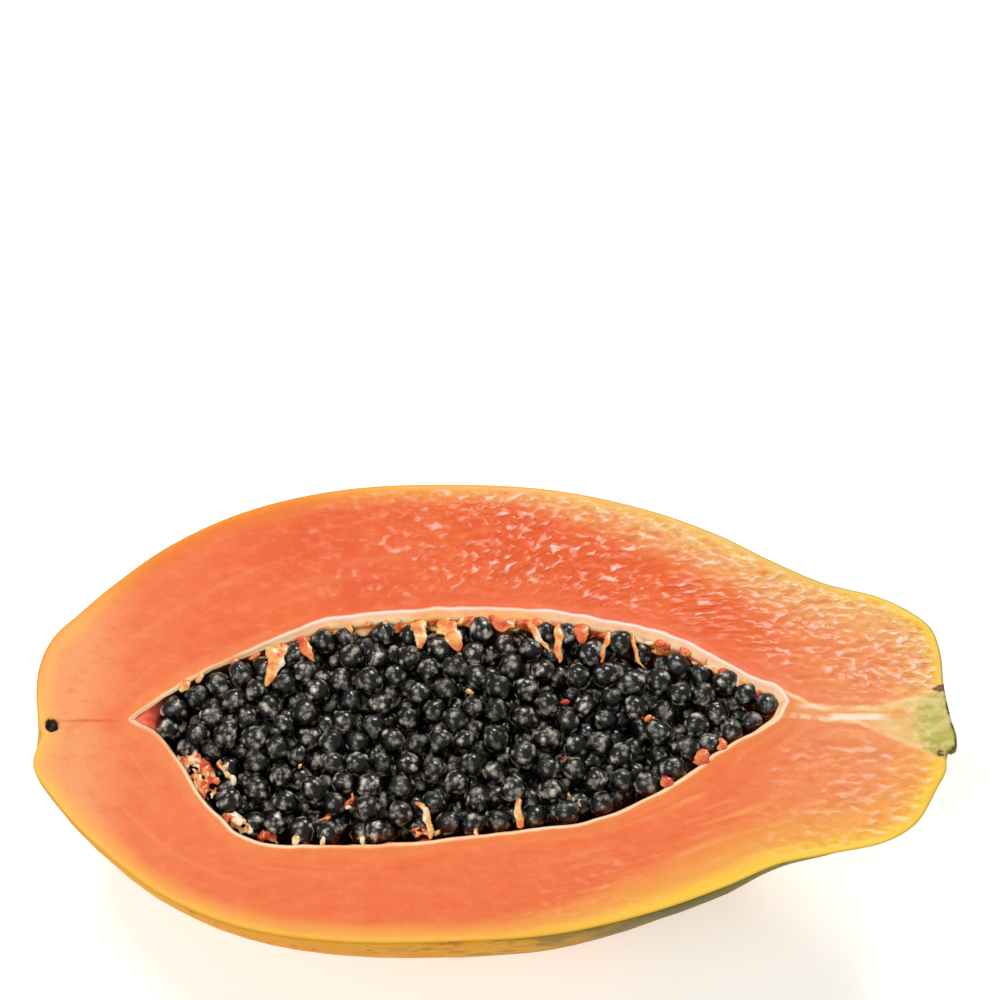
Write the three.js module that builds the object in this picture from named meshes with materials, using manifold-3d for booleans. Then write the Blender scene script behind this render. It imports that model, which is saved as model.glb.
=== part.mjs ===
// Half of a ripe papaya, cut lengthwise through its stem and lying on its rind with the cut face up.
// Two solids: the half fruit, a boat-shaped body with the seed cavity open in its cut face, and the
// heap of round seeds that fills the cavity. The heap is one solid: a core that fills the lower part
// of the cavity, with the seeds of its top layers fused on at their true size.
//
// Units are millimetres. Shapes are worked out in the fruit's own axes: X runs from the blossom end
// (0) to the stem end, Y runs across, with 0 on the line from blossom to stem, and Z is 0 on the cut
// face, with the flesh below it. The group then stands the fruit on the floor, over the origin.

import * as THREE from "three";
import { mergeVertices } from "three/addons/utils/BufferGeometryUtils.js";
import Module from "manifold-3d";

// The fruit.
const LENGTH = 202; // blossom end to the end of the stem stub
const WIDTH = 110.5; // across the belly, on the cut face
const DEPTH = 53.5; // cut face to the lowest point of the belly, before it is pressed flat
const RESTING_FLAT = 0.9; // how much of the belly is pressed flat where the fruit rests
const LOBES = 5; // lengthwise ridges round the whole fruit
const LOBE_RELIEF = 1.3; // height of a ridge over the grooves beside it
const LOBE_FADE = 12; // a ridge has half its height where the fruit's half width is this
const PIT_DIAMETER = 3; // the blossom scar's pit in the cut face
const PIT_PLACE = [3.7, -0.6];

// The seed cavity.
const CAVITY_DEPTH = 29; // cut face to its floor
const WALL_CURVE = 1.6; // 1 is an elliptic bowl with upright edges, 2 a parabola's sloping wall
const CUT_THROUGH = 1; // how far the cutting body stands over the cut face

// The seeds.
const SEED_DIAMETER = 5.6;
const SEED_SPREAD = 0.1; // a seed's diameter differs from the mean by up to this share
const SEED_STRETCH = 1.08; // a seed is this much longer than it is wide
const SEED_COUNT = 215; // seeds of the heap's top layers
const SEED_LAYERS = 4; // height between the lowest and the highest of their centres
const HEAP_NEAR = -2.2; // height of the highest centres along the cavity's near edge
const HEAP_FAR = -1.2; // and along its far edge
const HEAP_END_RISE = 1.5; // the heap rises by this much where the cavity ends
const HEAP_END_REACH = 15; // over this length
const HEAP_WAVE_HEIGHT = 0.7; // the heap's surface rises and falls by this much
const HEAP_WAVES = [43, 61]; // in waves of these lengths, along and across
const STREWING = [0.7548776662, 0.569840291]; // steps that spread points evenly over a plane
const CROWDED_AT_WALL = 0.3; // seeds start as near to the wall as this share of their radius
const SETTLING_PASSES = 90;
const SETTLING_SHARE = 0.6; // share of its overlaps that a seed moves away from in one pass
const CORE_DROP = 2; // the core's top lies this far under the highest centres
const WALL_GAP = 0.6; // free space between a round seed and the cavity's wall
const SEED_CORNERS = 1.03; // a faceted seed's corners stand out past its round form by this factor
const CORE_INSET = 0.8; // the core is this much smaller than the cavity on every side
const CORE_MARGIN = 2; // and ends this far from each of the cavity's ends
const HEAP_INSET = 0.35; // no seed comes nearer to the wall than this

// How finely the solids are cut into facets.
const FRUIT_SPACING = 4.6; // longest step from one cross-section to the next
const FRUIT_SIDES = 26;
const CAVITY_RINGS = 34;
const CAVITY_SIDES = 14;
const CORE_RINGS = 24;
const CORE_SIDES = 8;
const CORE_LID_SIDES = 6;

// Stations of a boat-shaped body: [along, far edge, near edge, depth]. They are shares of LENGTH,
// of half the WIDTH, of half the WIDTH, and of the body's own depth.
const FRUIT_STATIONS = [
  [0.0082, -0.05, -0.05, 0], // the notch between two lobes, at the blossom scar
  [0.004, 0.005, -0.1, 0.055],
  [0, 0.14, -0.165, 0.15],
  [0.003, 0.26, -0.22, 0.23],
  [0.016, 0.375, -0.293, 0.32],
  [0.042, 0.476, -0.415, 0.42],
  [0.08, 0.61, -0.555, 0.54],
  [0.14, 0.785, -0.73, 0.7],
  [0.223, 0.94, -0.868, 0.855],
  [0.327, 1.037, -0.932, 0.958],
  [0.445, 1.063, -0.935, 1],
  [0.564, 1.037, -0.903, 0.96],
  [0.668, 0.948, -0.81, 0.84],
  [0.748, 0.831, -0.7, 0.71],
  [0.802, 0.722, -0.61, 0.58],
  [0.861, 0.618, -0.562, 0.46],
  [0.923, 0.552, -0.507, 0.4],
  [0.956, 0.487, -0.42, 0.35],
  [0.9765, 0.42, -0.285, 0.29],
  [0.9865, 0.305, -0.215, 0.22],
  [0.9885, 0.17, -0.155, 0.15], // the rim round the stem
  [0.991, 0.1, -0.125, 0.12],
  [0.9955, 0.005, -0.115, 0.09], // the slanting end of the stem stub
  [1, -0.055, -0.1, 0.045],
  [1, -0.078, -0.078, 0],
];
const CAVITY_STATIONS = [
  [0.105, 0.011, 0.011, 0],
  [0.137, 0.11, -0.069, 0.28],
  [0.156, 0.161, -0.163, 0.44],
  [0.187, 0.23, -0.337, 0.63],
  [0.226, 0.305, -0.485, 0.8],
  [0.2475, 0.34, -0.516, 0.86],
  [0.307, 0.438, -0.53, 0.96],
  [0.39, 0.482, -0.521, 1],
  [0.525, 0.494, -0.466, 1],
  [0.614, 0.45, -0.412, 0.94],
  [0.702, 0.358, -0.244, 0.76],
  [0.745, 0.268, -0.12, 0.58],
  [0.787, 0.175, -0.028, 0.4],
  [0.808, 0.143, 0.03, 0.25],
  [0.817, 0.088, 0.088, 0],
];

const RIND_COLOUR = 0xe8a23c;
const SEED_COLOUR = 0x2a2622;

const wasm = await Module();
wasm.setup();

// ---- Smooth shapes ----

// A smooth curve through stations, as a function from its key to the cross-section there.
class StationCurve {
  constructor(stations, bodyDepth, keyOfPoint) {
    const half = WIDTH / 2;
    const points = stations.map(([along, far, near, depth]) => [
      along * LENGTH,
      far * half,
      near * half,
      depth * bodyDepth,
    ]);
    this.keys = points.map(keyOfPoint);
    this.curve = new THREE.CubicInterpolant(this.keys, points.flat(), points[0].length, []);
  }

  at(key) {
    const inside = THREE.MathUtils.clamp(key, this.keys[0], this.keys.at(-1));
    const [x, far, near, depth] = this.curve.evaluate(inside);
    return { x, middle: (far + near) / 2, half: (far - near) / 2, depth: Math.max(depth, 0) };
  }
}

// A key that grows with the distance along the far edge, for a body whose ends turn back.
function distanceAlong(_, index, points) {
  let distance = 0;
  for (let i = 1; i <= index; i++) {
    const [[x0, y0], [x1, y1]] = points.slice(i - 1, i + 1);
    distance += Math.hypot(x1 - x0, y1 - y0);
  }
  return distance;
}

const fruitCurve = new StationCurve(FRUIT_STATIONS, DEPTH, distanceAlong);
const cavityCurve = new StationCurve(CAVITY_STATIONS, CAVITY_DEPTH, ([x]) => x);

// A point of the fruit's skin, at a turn from the far edge (0) under the belly to the near edge
// (1). Each cross-section is an arc of a circle through both edges and the keel, with the ridges
// added to its radius so that both edges stay where the stations put them.
function skinPoint({ x, middle, half, depth }, turn) {
  if (depth < 1e-6) return [x, middle, 0];
  const radius = (half * half + depth * depth) / (2 * depth);
  const sweep = (1 - 2 * turn) * 2 * Math.atan2(depth, half);
  const round = turn * Math.PI;
  const relief = ((LOBE_RELIEF / 2) * half) / (half + LOBE_FADE);
  const reach = radius + relief * Math.cos(LOBES * round) * Math.sin(round);
  const z = radius - depth - reach * Math.cos(sweep);
  return [x, middle + reach * Math.sin(sweep), Math.max(Math.min(z, 0), RESTING_FLAT - DEPTH)];
}

// A point of the cavity's wall, at an angle from the far edge (0) over the floor to the near (pi).
function wallPoint({ x, middle, half, depth }, angle) {
  const sine = Math.sin(angle);
  return [x, middle + half * Math.cos(angle), -depth * Math.max(sine, 0) ** WALL_CURVE];
}

// ---- Solids ----

// A closed solid through cross-sections, each a closed loop of the same number of points, seen
// anticlockwise from the blossom end. The first and last loops may shrink to a point or a line.
function loft(loops) {
  const positions = [];
  for (let i = 0; i + 1 < loops.length; i++) {
    const [here, next] = [loops[i], loops[i + 1]];
    for (let j = 0; j < here.length; j++) {
      const k = (j + 1) % here.length;
      positions.push(...here[j], ...next[j], ...next[k]);
      positions.push(...here[j], ...next[k], ...here[k]);
    }
  }
  for (const [loop, first, second] of [
    [loops[0], 0, 1],
    [loops.at(-1), 1, 0],
  ]) {
    for (let j = 1; j + 1 < loop.length; j++) {
      positions.push(...loop[0], ...loop[j + first], ...loop[j + second]);
    }
  }
  const geometry = new THREE.BufferGeometry();
  geometry.setAttribute("position", new THREE.Float32BufferAttribute(positions, 3));
  return solidOf(geometry);
}

// A three.js geometry as a manifold solid, with shared corners merged and facets without area
// left out.
function solidOf(geometry) {
  const bare = geometry.index ? geometry.toNonIndexed() : geometry.clone();
  bare.deleteAttribute("normal");
  bare.deleteAttribute("uv");
  const merged = mergeVertices(bare, 1e-3);
  const corners = merged.index.array;
  const kept = [];
  for (let i = 0; i < corners.length; i += 3) {
    const [a, b, c] = corners.slice(i, i + 3);
    if (a !== b && b !== c && c !== a) kept.push(a, b, c);
  }
  return new wasm.Manifold(
    new wasm.Mesh({
      numProp: 3,
      vertProperties: merged.attributes.position.array,
      triVerts: new Uint32Array(kept),
    }),
  );
}

function meshOf(name, solid, colour, roughness) {
  const { vertProperties, triVerts } = solid.getMesh();
  const geometry = new THREE.BufferGeometry();
  geometry.setAttribute("position", new THREE.BufferAttribute(vertProperties, 3));
  geometry.setIndex(new THREE.BufferAttribute(triVerts, 1));
  geometry.computeVertexNormals();
  const material = new THREE.MeshStandardMaterial({ color: colour, roughness, metalness: 0 });
  const mesh = new THREE.Mesh(geometry, material);
  mesh.name = name;
  return mesh;
}

// Values spread evenly from one number to another.
function evenly(from, to, steps) {
  return Array.from({ length: steps + 1 }, (_, i) => from + ((to - from) * i) / steps);
}

// ---- The half fruit ----

function fruitKeys() {
  const keys = [];
  for (let i = 0; i + 1 < fruitCurve.keys.length; i++) {
    const [from, to] = [fruitCurve.keys[i], fruitCurve.keys[i + 1]];
    const steps = Math.ceil((to - from) / FRUIT_SPACING);
    keys.push(...evenly(from, to, steps).slice(0, -1));
  }
  return [...keys, fruitCurve.keys.at(-1)];
}

function makeBody() {
  const turns = evenly(0, 1, FRUIT_SIDES);
  return loft(
    fruitKeys().map((key) => {
      const section = fruitCurve.at(key);
      return turns.map((turn) => skinPoint(section, turn));
    }),
  );
}

// A section of the cavity, smaller by an inset on every side.
function insetSection(key, inset) {
  const { x, middle, half, depth } = cavityCurve.at(key);
  return { x, middle, half: Math.max(half - inset, 0), depth: Math.max(depth - inset, 0) };
}

// The space inside the cavity, up to a height over the cut face.
function makeCavity(inset, height) {
  const angles = evenly(0, Math.PI, CAVITY_SIDES);
  const [first, last] = [cavityCurve.keys[0], cavityCurve.keys.at(-1)];
  return loft(
    evenly(first, last, CAVITY_RINGS).map((key) => {
      const wall = angles.map((angle) => wallPoint(insetSection(key, inset), angle));
      const [far, near] = [wall[0], wall.at(-1)];
      return [...wall, [near[0], near[1], height], [far[0], far[1], height]];
    }),
  );
}

function makePit() {
  const pit = new THREE.IcosahedronGeometry(PIT_DIAMETER / 2, 1);
  return solidOf(pit.translate(...PIT_PLACE, 0));
}

// ---- The seed heap ----

// Numbers from 0 to 1, the same in every run.
function seededRandom(seed) {
  let state = seed;
  return () => {
    state = (state * 16807) % 2147483647;
    return state / 2147483647;
  };
}

// Height of the highest seed centres over a place of the cavity.
function heapLevel(x, y) {
  const { middle, half } = cavityCurve.at(x);
  const across = THREE.MathUtils.clamp((y - middle) / half, -1, 1);
  const slope = THREE.MathUtils.lerp(HEAP_NEAR, HEAP_FAR, (across + 1) / 2);
  const wave = Math.sin((2 * Math.PI * x) / HEAP_WAVES[0]) * Math.cos((2 * Math.PI * y) / HEAP_WAVES[1]);
  const fromEnd = Math.min(x - cavityCurve.keys[0], cavityCurve.keys.at(-1) - x);
  const nearEnd = 1 - THREE.MathUtils.clamp(fromEnd / HEAP_END_REACH, 0, 1);
  return slope + HEAP_WAVE_HEIGHT * wave + HEAP_END_RISE * nearEnd ** 2;
}

// How far a point is inside the cavity's wall, and the way inwards, both to the first order.
function wallClearance(x, y, z) {
  const bowl = (px, py, pz) => {
    const { middle, half, depth } = cavityCurve.at(px);
    const across = (py - middle) / Math.max(half, 0.5);
    const down = Math.max(-pz, 0) / Math.max(depth, 0.5);
    return 1 - Math.sqrt(across ** 2 + down ** (2 / WALL_CURVE));
  };
  const step = 0.1;
  const inwards = new THREE.Vector3(
    bowl(x + step, y, z) - bowl(x - step, y, z),
    bowl(x, y + step, z) - bowl(x, y - step, z),
    bowl(x, y, z + step) - bowl(x, y, z - step),
  ).divideScalar(2 * step);
  const steepness = Math.max(inwards.length(), 1e-6);
  return { distance: bowl(x, y, z) / steepness, inwards: inwards.divideScalar(steepness) };
}

// Seeds strewn evenly over the cavity, which then push each other apart and settle inside its wall.
function settledSeeds() {
  const random = seededRandom(20);
  const seeds = [];
  const [first, last] = [cavityCurve.keys[0], cavityCurve.keys.at(-1)];
  for (let i = 0; seeds.length < SEED_COUNT; i++) {
    const x = first + (last - first) * ((i * STREWING[0]) % 1);
    const y = (((i * STREWING[1]) % 1) - 0.5) * WIDTH;
    const z = heapLevel(x, y) - SEED_LAYERS * random();
    const radius = (SEED_DIAMETER / 2) * (1 + SEED_SPREAD * (2 * random() - 1));
    if (wallClearance(x, y, z).distance > radius * CROWDED_AT_WALL) {
      seeds.push({ place: new THREE.Vector3(x, y, z), radius });
    }
  }
  for (let pass = 0; pass < SETTLING_PASSES; pass++) {
    const moves = seeds.map(({ place, radius }) => {
      const move = new THREE.Vector3();
      for (const other of seeds) {
        const apart = place.clone().sub(other.place);
        const overlap = Math.max(radius + other.radius - apart.length(), 0);
        move.addScaledVector(apart.normalize(), overlap / 2);
      }
      return move;
    });
    seeds.forEach(({ place, radius }, i) => {
      place.addScaledVector(moves[i], SETTLING_SHARE);
      const wall = wallClearance(place.x, place.y, place.z);
      const short = radius + WALL_GAP - wall.distance;
      if (short > 0) place.addScaledVector(wall.inwards, short);
      const level = heapLevel(place.x, place.y);
      place.z = THREE.MathUtils.clamp(place.z, level - SEED_LAYERS, level);
    });
  }
  return seeds;
}

function makeCore() {
  const [first, last] = [cavityCurve.keys[0], cavityCurve.keys.at(-1)];
  return loft(
    evenly(first + CORE_MARGIN, last - CORE_MARGIN, CORE_RINGS).map((key) => {
      const section = insetSection(key, CORE_INSET);
      const { x, middle, half, depth } = section;
      const lidAngle = (y) => {
        const drop = CORE_DROP - heapLevel(x, y);
        return Math.asin(Math.min(drop / depth, 1) ** (1 / WALL_CURVE));
      };
      const [farEnd, nearEnd] = [lidAngle(middle + half), Math.PI - lidAngle(middle - half)];
      const wall = evenly(farEnd, nearEnd, CORE_SIDES).map((angle) => wallPoint(section, angle));
      const lid = evenly(wall.at(-1)[1], wall[0][1], CORE_LID_SIDES)
        .slice(1, -1)
        .map((y) => [x, y, heapLevel(x, y) - CORE_DROP]);
      return [...wall, ...lid];
    }),
  );
}

function makeHeap() {
  const turn = seededRandom(7);
  let heap = makeCore();
  for (const { place, radius } of settledSeeds()) {
    const seed = new THREE.IcosahedronGeometry(radius * SEED_CORNERS, 0)
      .scale(1, 1, SEED_STRETCH)
      .rotateX(turn() * Math.PI)
      .rotateZ(turn() * Math.PI)
      .translate(place.x, place.y, place.z);
    heap = heap.add(solidOf(seed));
  }
  return heap.intersect(makeCavity(HEAP_INSET, SEED_DIAMETER));
}

const fruit = makeBody().subtract(makeCavity(0, CUT_THROUGH)).subtract(makePit());
const heap = makeHeap();

const group = new THREE.Group();
group.add(meshOf("fruit_half", fruit, RIND_COLOUR, 0.35));
group.add(meshOf("seed_heap", heap, SEED_COLOUR, 0.3));
const bounds = new THREE.Box3().setFromObject(group.children[0]);
const centre = bounds.getCenter(new THREE.Vector3());
group.position.set(-centre.x, -centre.y, -bounds.min.z);

export default group;
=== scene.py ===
"""Half of a ripe papaya lying on its rind, cut face up, with its open cavity full of wet seeds.

Shapes are worked out in millimetres in the fruit's own axes: X runs from the blossom end (0) to the
stem end, Y runs across, with 0 on the line from blossom to stem, and Z is 0 on the cut face, with
the flesh below it. Each finished mesh is then set down in the frame, in metres.
"""

import math
from bisect import bisect_right
from collections import namedtuple
from functools import cached_property, lru_cache

import bmesh
import bpy
from mathutils import Euler, Matrix, Vector, noise
from mathutils.kdtree import KDTree


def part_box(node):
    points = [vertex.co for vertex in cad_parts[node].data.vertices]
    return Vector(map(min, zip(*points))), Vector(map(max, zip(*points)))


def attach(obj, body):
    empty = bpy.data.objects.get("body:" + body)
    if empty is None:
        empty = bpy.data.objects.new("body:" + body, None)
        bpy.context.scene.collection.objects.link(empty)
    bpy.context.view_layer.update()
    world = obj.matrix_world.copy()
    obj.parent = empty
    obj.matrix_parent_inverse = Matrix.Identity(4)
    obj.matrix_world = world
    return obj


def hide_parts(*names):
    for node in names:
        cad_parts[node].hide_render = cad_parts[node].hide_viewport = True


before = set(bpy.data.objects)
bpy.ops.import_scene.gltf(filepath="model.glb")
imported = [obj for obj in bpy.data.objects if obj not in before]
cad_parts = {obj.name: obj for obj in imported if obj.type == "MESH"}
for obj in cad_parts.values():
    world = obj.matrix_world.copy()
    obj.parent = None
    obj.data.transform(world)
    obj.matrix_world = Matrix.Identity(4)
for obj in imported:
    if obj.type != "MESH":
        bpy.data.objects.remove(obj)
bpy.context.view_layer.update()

# The fruit.
LENGTH = 202  # blossom end to the end of the stem stub
WIDTH = 110.5  # across the belly, on the cut face
DEPTH = 53.5  # cut face to the lowest point of the belly, before it is pressed flat
RESTING_FLAT = 0.9  # how much of the belly is pressed flat where the fruit rests
LOBES = 5  # lengthwise ridges round the whole fruit
LOBE_RELIEF = 1.3
LOBE_FADE = 12  # a ridge has half its height where the fruit's half width is this
SCAR_RADIUS = 1.5  # the blossom scar's pit in the cut face
SCAR_DEPTH = 1.6
SCAR_PLACE = (3.7, -0.6)
CORE_PATCH_PLACE = (188.5, 2)  # a deeper orange patch in the core
STUB_SCALE_PLACE = (199, 8.4)  # the dry scale at the stub's far corner
STUB_SPOT_PLACE = (198.2, -7.4)  # and the dark spot at its near one
CAVITY_DEPTH = 29
WALL_CURVE = 1.6  # 1 is an elliptic bowl with upright edges, 2 a parabola's sloping wall
TIP_SHOAL = (29.5, 24)  # between these the floor of the cavity's blossom tip rises
TIP_FILL = 0.65  # by this share of its depth

# Stations of a boat-shaped body: along, far edge, near edge, depth. They are shares of LENGTH, of
# half the WIDTH, of half the WIDTH, and of the body's own depth.
FRUIT_STATIONS = [
    (0.0082, -0.05, -0.05, 0),  # the notch between two lobes, at the blossom scar
    (0.004, 0.005, -0.1, 0.055),
    (0, 0.14, -0.165, 0.15),
    (0.003, 0.26, -0.22, 0.23),
    (0.016, 0.375, -0.293, 0.32),
    (0.042, 0.476, -0.415, 0.42),
    (0.08, 0.61, -0.555, 0.54),
    (0.14, 0.785, -0.73, 0.7),
    (0.223, 0.94, -0.868, 0.855),
    (0.327, 1.037, -0.932, 0.958),
    (0.445, 1.063, -0.935, 1),
    (0.564, 1.037, -0.903, 0.96),
    (0.668, 0.948, -0.81, 0.84),
    (0.748, 0.831, -0.7, 0.71),
    (0.802, 0.722, -0.61, 0.58),
    (0.861, 0.618, -0.562, 0.46),
    (0.923, 0.552, -0.507, 0.4),
    (0.956, 0.487, -0.42, 0.35),
    (0.9765, 0.42, -0.285, 0.29),
    (0.9865, 0.305, -0.215, 0.22),
    (0.9885, 0.17, -0.155, 0.15),  # the rim round the stem
    (0.991, 0.1, -0.125, 0.12),
    (0.9955, 0.005, -0.115, 0.09),  # the slanting end of the stem stub
    (1, -0.055, -0.1, 0.045),
    (1, -0.078, -0.078, 0),
]
CAVITY_STATIONS = [
    (0.105, 0.011, 0.011, 0),
    (0.137, 0.11, -0.069, 0.28),
    (0.156, 0.161, -0.163, 0.44),
    (0.187, 0.23, -0.337, 0.63),
    (0.226, 0.305, -0.485, 0.8),
    (0.2475, 0.34, -0.516, 0.86),
    (0.307, 0.438, -0.53, 0.96),
    (0.39, 0.482, -0.521, 1),
    (0.525, 0.494, -0.466, 1),
    (0.614, 0.45, -0.412, 0.94),
    (0.702, 0.358, -0.244, 0.76),
    (0.745, 0.268, -0.12, 0.58),
    (0.787, 0.175, -0.028, 0.4),
    (0.808, 0.143, 0.03, 0.25),
    (0.817, 0.088, 0.088, 0),
]

# The cut face and the cavity's wall. Waves have a height, and then a length or a length and a width.
KNIFE_WAVES = (0.22, 24)
KNIFE_RIPPLES = (0.07, 6.5)
WET_PITS = (0.2, 4.6, 2.4)
FIBRES = (0.1, 26, 1.8)  # on the near side towards the stem
EDGE_DROP = 0.1  # the cut face falls by this much where it meets the rind
WALL_FOLDS = (0.9, 4.5, 16)
WALL_LUMPS = (0.4, 3.5)
RIND_WAVES = (0.25, 13)
RIND_DIMPLES = (0.1, 4)
FAR_SIDE = (5, 32)  # from here to here across, the far side gets its full wetness
TOWARDS_STEM = (45, 110)  # and from here to here along
WET_NECK = (148, 176)  # the neck is wet on both sides, from here to here
NECK_SIDES = (-10, 5)  # and less so on its near side
NECK = (145, 165)  # from here to here the grain turns from round the cavity to lengthwise
GRAIN_WIDTH = 26  # the flesh's fibres are laid out over this width from cavity to rind
GRAIN_DROP = 60  # and the wall's over this length from rim to rim
LIP_HEIGHT = 0.2  # a pale lip stands round the cavity, this high over the cut face
LIP_ROUNDING = 0.12  # with its edge rounded off by this much
LIP_REACH = (0.4, 2.0)  # it stands this far into the cavity on its near and far side
LIP_DROP = 2.6  # and reaches down this far
LIP_FLATNESS = 8  # 1 is a sloping lip, more a flatter ledge
LIP_START = (36, 68)  # from here to here along, it grows to its full width on the far side
LIP_SIDES = (-4, 8)  # and from here to here across
RIM_RAGGEDNESS = 0.45  # the cavity's rim wanders by this much
RIM_WAVE = 5

# The seeds.
SEED_DIAMETER = 5.6
SEED_SPREAD = 0.1  # a seed's diameter differs from the mean by up to this share
SEED_STRETCH = 1.08  # a seed is this much longer than it is wide
SEED_LUMPS = ((1.1, 0.24), (2.6, 0.1))  # how fine a seed's lumps are, and how high as a share
SEED_COUNT = 258  # seeds of the heap's top layers
SEED_LAYERS = (0, 4)  # their centres lie between these depths under the heap's surface
LOWER_SEED_COUNT = 130  # seeds that show in the gaps of the top layers
LOWER_LAYERS = (4.2, 8.5)
LODGED_SEEDS = (34.8, 39.2, 43.4, 47.6)  # places along the fruit of seeds caught under the far lip
SEED_REACH = (28.6, 160.8)  # the first and the last seed's place, so that the cavity's tips are bare
HEAP_NEAR = -2.2  # height of the highest centres along the cavity's near edge
HEAP_FAR = -1.2  # and along its far edge
HEAP_END_RISE = 1.5  # the heap rises by this much where the cavity ends
HEAP_END_REACH = 15  # over this length
HEAP_WAVE_HEIGHT = 0.7
HEAP_WAVES = (43, 61)  # lengths of the heap's waves, along and across
STREWING = (0.7548776662, 0.569840291)  # steps that spread points evenly over a plane
CROWDED_AT_WALL = 0.3  # seeds start as near to the wall as this share of their radius
SETTLING_PASSES = 90
SETTLING_SHARE = 0.6  # share of its overlaps that a seed moves away from in one pass
NEIGHBOURS = 1.2  # a seed feels others up to this many diameters away
WALL_GAP = 0.6  # free space between a seed and the cavity's wall
BED_DROP = 8  # the bed's top lies this far under the highest centres
BED_INSET = 1.2  # and the bed this far inside the cavity's wall
BED_MARGIN = 9  # it ends this far from each of the cavity's ends

# The pulp.
FLAP_ROOT = 0.09  # how far round the wall from the rim a flap of pulp starts, in radians
FLAP_THICKNESS = 0.7
FLAP_FLARE = 1.9  # and spreads by this much where it leaves the wall
FLAP_TAPER = 0.85  # and draws in by this much at its tip
FLAP_SINK = 0.7  # a flap starts this deep in the lip
FLAP_RISE = 1.1  # a flap bows up by this much on its way
FLAP_WANDER = 0.8  # and wanders to both sides by this much
FLAP_NESTLING = 1.3  # its tip lies this far over the highest seed centres
FLAP_BLUNTNESS = 0.6  # 0 is a tip like an ellipse's, 1 a square one
FRINGE_LUMPS = 140  # shreds of pulp along the far wall
FRINGE_TONE = 0.3
FRINGE_WALL = (0.1, 0.25)  # between these turns round the wall from the rim, in radians
FRINGE_LENGTHS = (1.8, 5)
FRINGE_ALONG = (47, 161)  # from here to here
FRINGE_FORWARD = 0.35  # they stand this far before the lip
LUMP_LENGTHS = (1.2, 3.0)  # lengths of the lumps in a clump of pulp
LUMP_WIDTHS = (0.28, 0.5)  # their widths as shares of their lengths
LUMP_HEIGHTS = (-0.8, 1.0)  # they lie between these heights over the highest seed centres
LUMP_BLUNTNESS = 0.25
PULP_CELL = 0.32  # the pulp's pieces are fused at this fineness
SPOT_STEP = 3  # seeds are kept off a flap by round spots, up to this far apart
SPOT_SHARE = 0.8  # which are this share of its width
SPOT_RISE = 0.5  # a clump's spots lie this far over the highest seed centres

# Starts of the rows of random numbers. Without its own, the rim would wander differently in each run.
TOP_ROW, LOWER_ROW, TURN_ROW, PULP_ROW, RIM_ROW = 20, 33, 7, 11, 1

# How finely the surfaces are cut.
COLUMNS = 380
SKIN_ROWS = 88
CUT_ROWS = 52
WALL_ROWS = 30
EDGE_CROWDING = 0.55  # 0 spaces the cut face's rows evenly, 1 crowds them towards both edges
EDGE_SAMPLES = 6000
BED_COLUMNS, BED_WALL_ROWS, BED_LID_ROWS = 60, 16, 14
SEED_CUTS, LUMP_CUTS, FLAP_CUTS = 2, 3, 6  # cuts across each side of the cube that a ball is made of
WELD = 0.002  # corners nearer than this become one

MILLIMETRE = 0.001
Section = namedtuple("Section", "x middle half depth")


# ---- Smooth shapes ----


def lerp(start, end, share):
    return start + (end - start) * share


def clamp(value, low=0.0, high=1.0):
    return min(max(value, low), high)


def smooth(value, start, end):
    """0 before start, 1 past end and a smooth rise between; start may be the larger."""
    share = clamp((value - start) / (end - start))
    return share * share * (3 - 2 * share)


def bend(start, middle, end, share):
    """A point of the bend from start to end that leans towards middle."""
    return start.lerp(middle, share).lerp(middle.lerp(end, share), share)


def waves(place, height, length, shift=Vector()):
    return height * noise.noise(place / length + shift)


def long_waves(grain, height, length, width, layer):
    """Waves that run along X; each layer has its own."""
    return height * noise.noise(Vector((grain.x / length, grain.y / width, layer)))


def seeded_random(seed):
    """Numbers from 0 to 1, the same in every run."""
    state = seed
    while True:
        state = state * 16807 % 2147483647
        yield state / 2147483647


def search_tree(places):
    """Finds the places that are nearest to another."""
    tree = KDTree(len(places))
    for index, place in enumerate(places):
        tree.insert(place, index)
    tree.balance()
    return tree


class StationCurve:
    """A smooth curve through stations, from a key to the cross-section there."""

    def __init__(self, stations, body_depth, keyed_by_edge):
        half = WIDTH / 2
        self.points = [
            (along * LENGTH, far * half, near * half, depth * body_depth)
            for along, far, near, depth in stations
        ]
        self.keys = [point[0] for point in self.points]
        if keyed_by_edge:
            self.keys = [0.0]
            for before, after in zip(self.points, self.points[1:]):
                self.keys.append(self.keys[-1] + math.dist(before[:2], after[:2]))

    def at(self, key):
        return self._section(clamp(key, self.keys[0], self.keys[-1]))

    def at_share(self, share):
        return self.at(lerp(self.keys[0], self.keys[-1], share))

    @lru_cache(maxsize=None)
    def _section(self, key):
        right = clamp(bisect_right(self.keys, key), 1, len(self.keys) - 1)
        left = right - 1
        before = left - 1 if left else right
        after = right + 1 if right + 1 < len(self.keys) else left
        span = self.keys[right] - self.keys[left]
        pull_before = span / 2 / (self.keys[left] - self.keys[before])
        pull_after = span / 2 / (self.keys[after] - self.keys[right])
        share = (key - self.keys[left]) / span
        square, cube = share**2, share**3
        weights = (
            (before, pull_before * (2 * square - cube - share)),
            (left, (1 + pull_before) * cube - (1.5 + 2 * pull_before) * square
             + (pull_before - 0.5) * share + 1),
            (right, (1.5 + pull_after) * square - (1 + pull_after) * cube + 0.5 * share),
            (after, pull_after * (cube - square)),
        )
        x, far, near, depth = (
            sum(weight * self.points[index][part] for index, weight in weights) for part in range(4)
        )
        return Section(x, (far + near) / 2, (far - near) / 2, max(depth, 0))


fruit_curve = StationCurve(FRUIT_STATIONS, DEPTH, keyed_by_edge=True)
cavity_curve = StationCurve(CAVITY_STATIONS, CAVITY_DEPTH, keyed_by_edge=False)
FIRST_WALL, LAST_WALL = cavity_curve.keys[0], cavity_curve.keys[-1]


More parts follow.
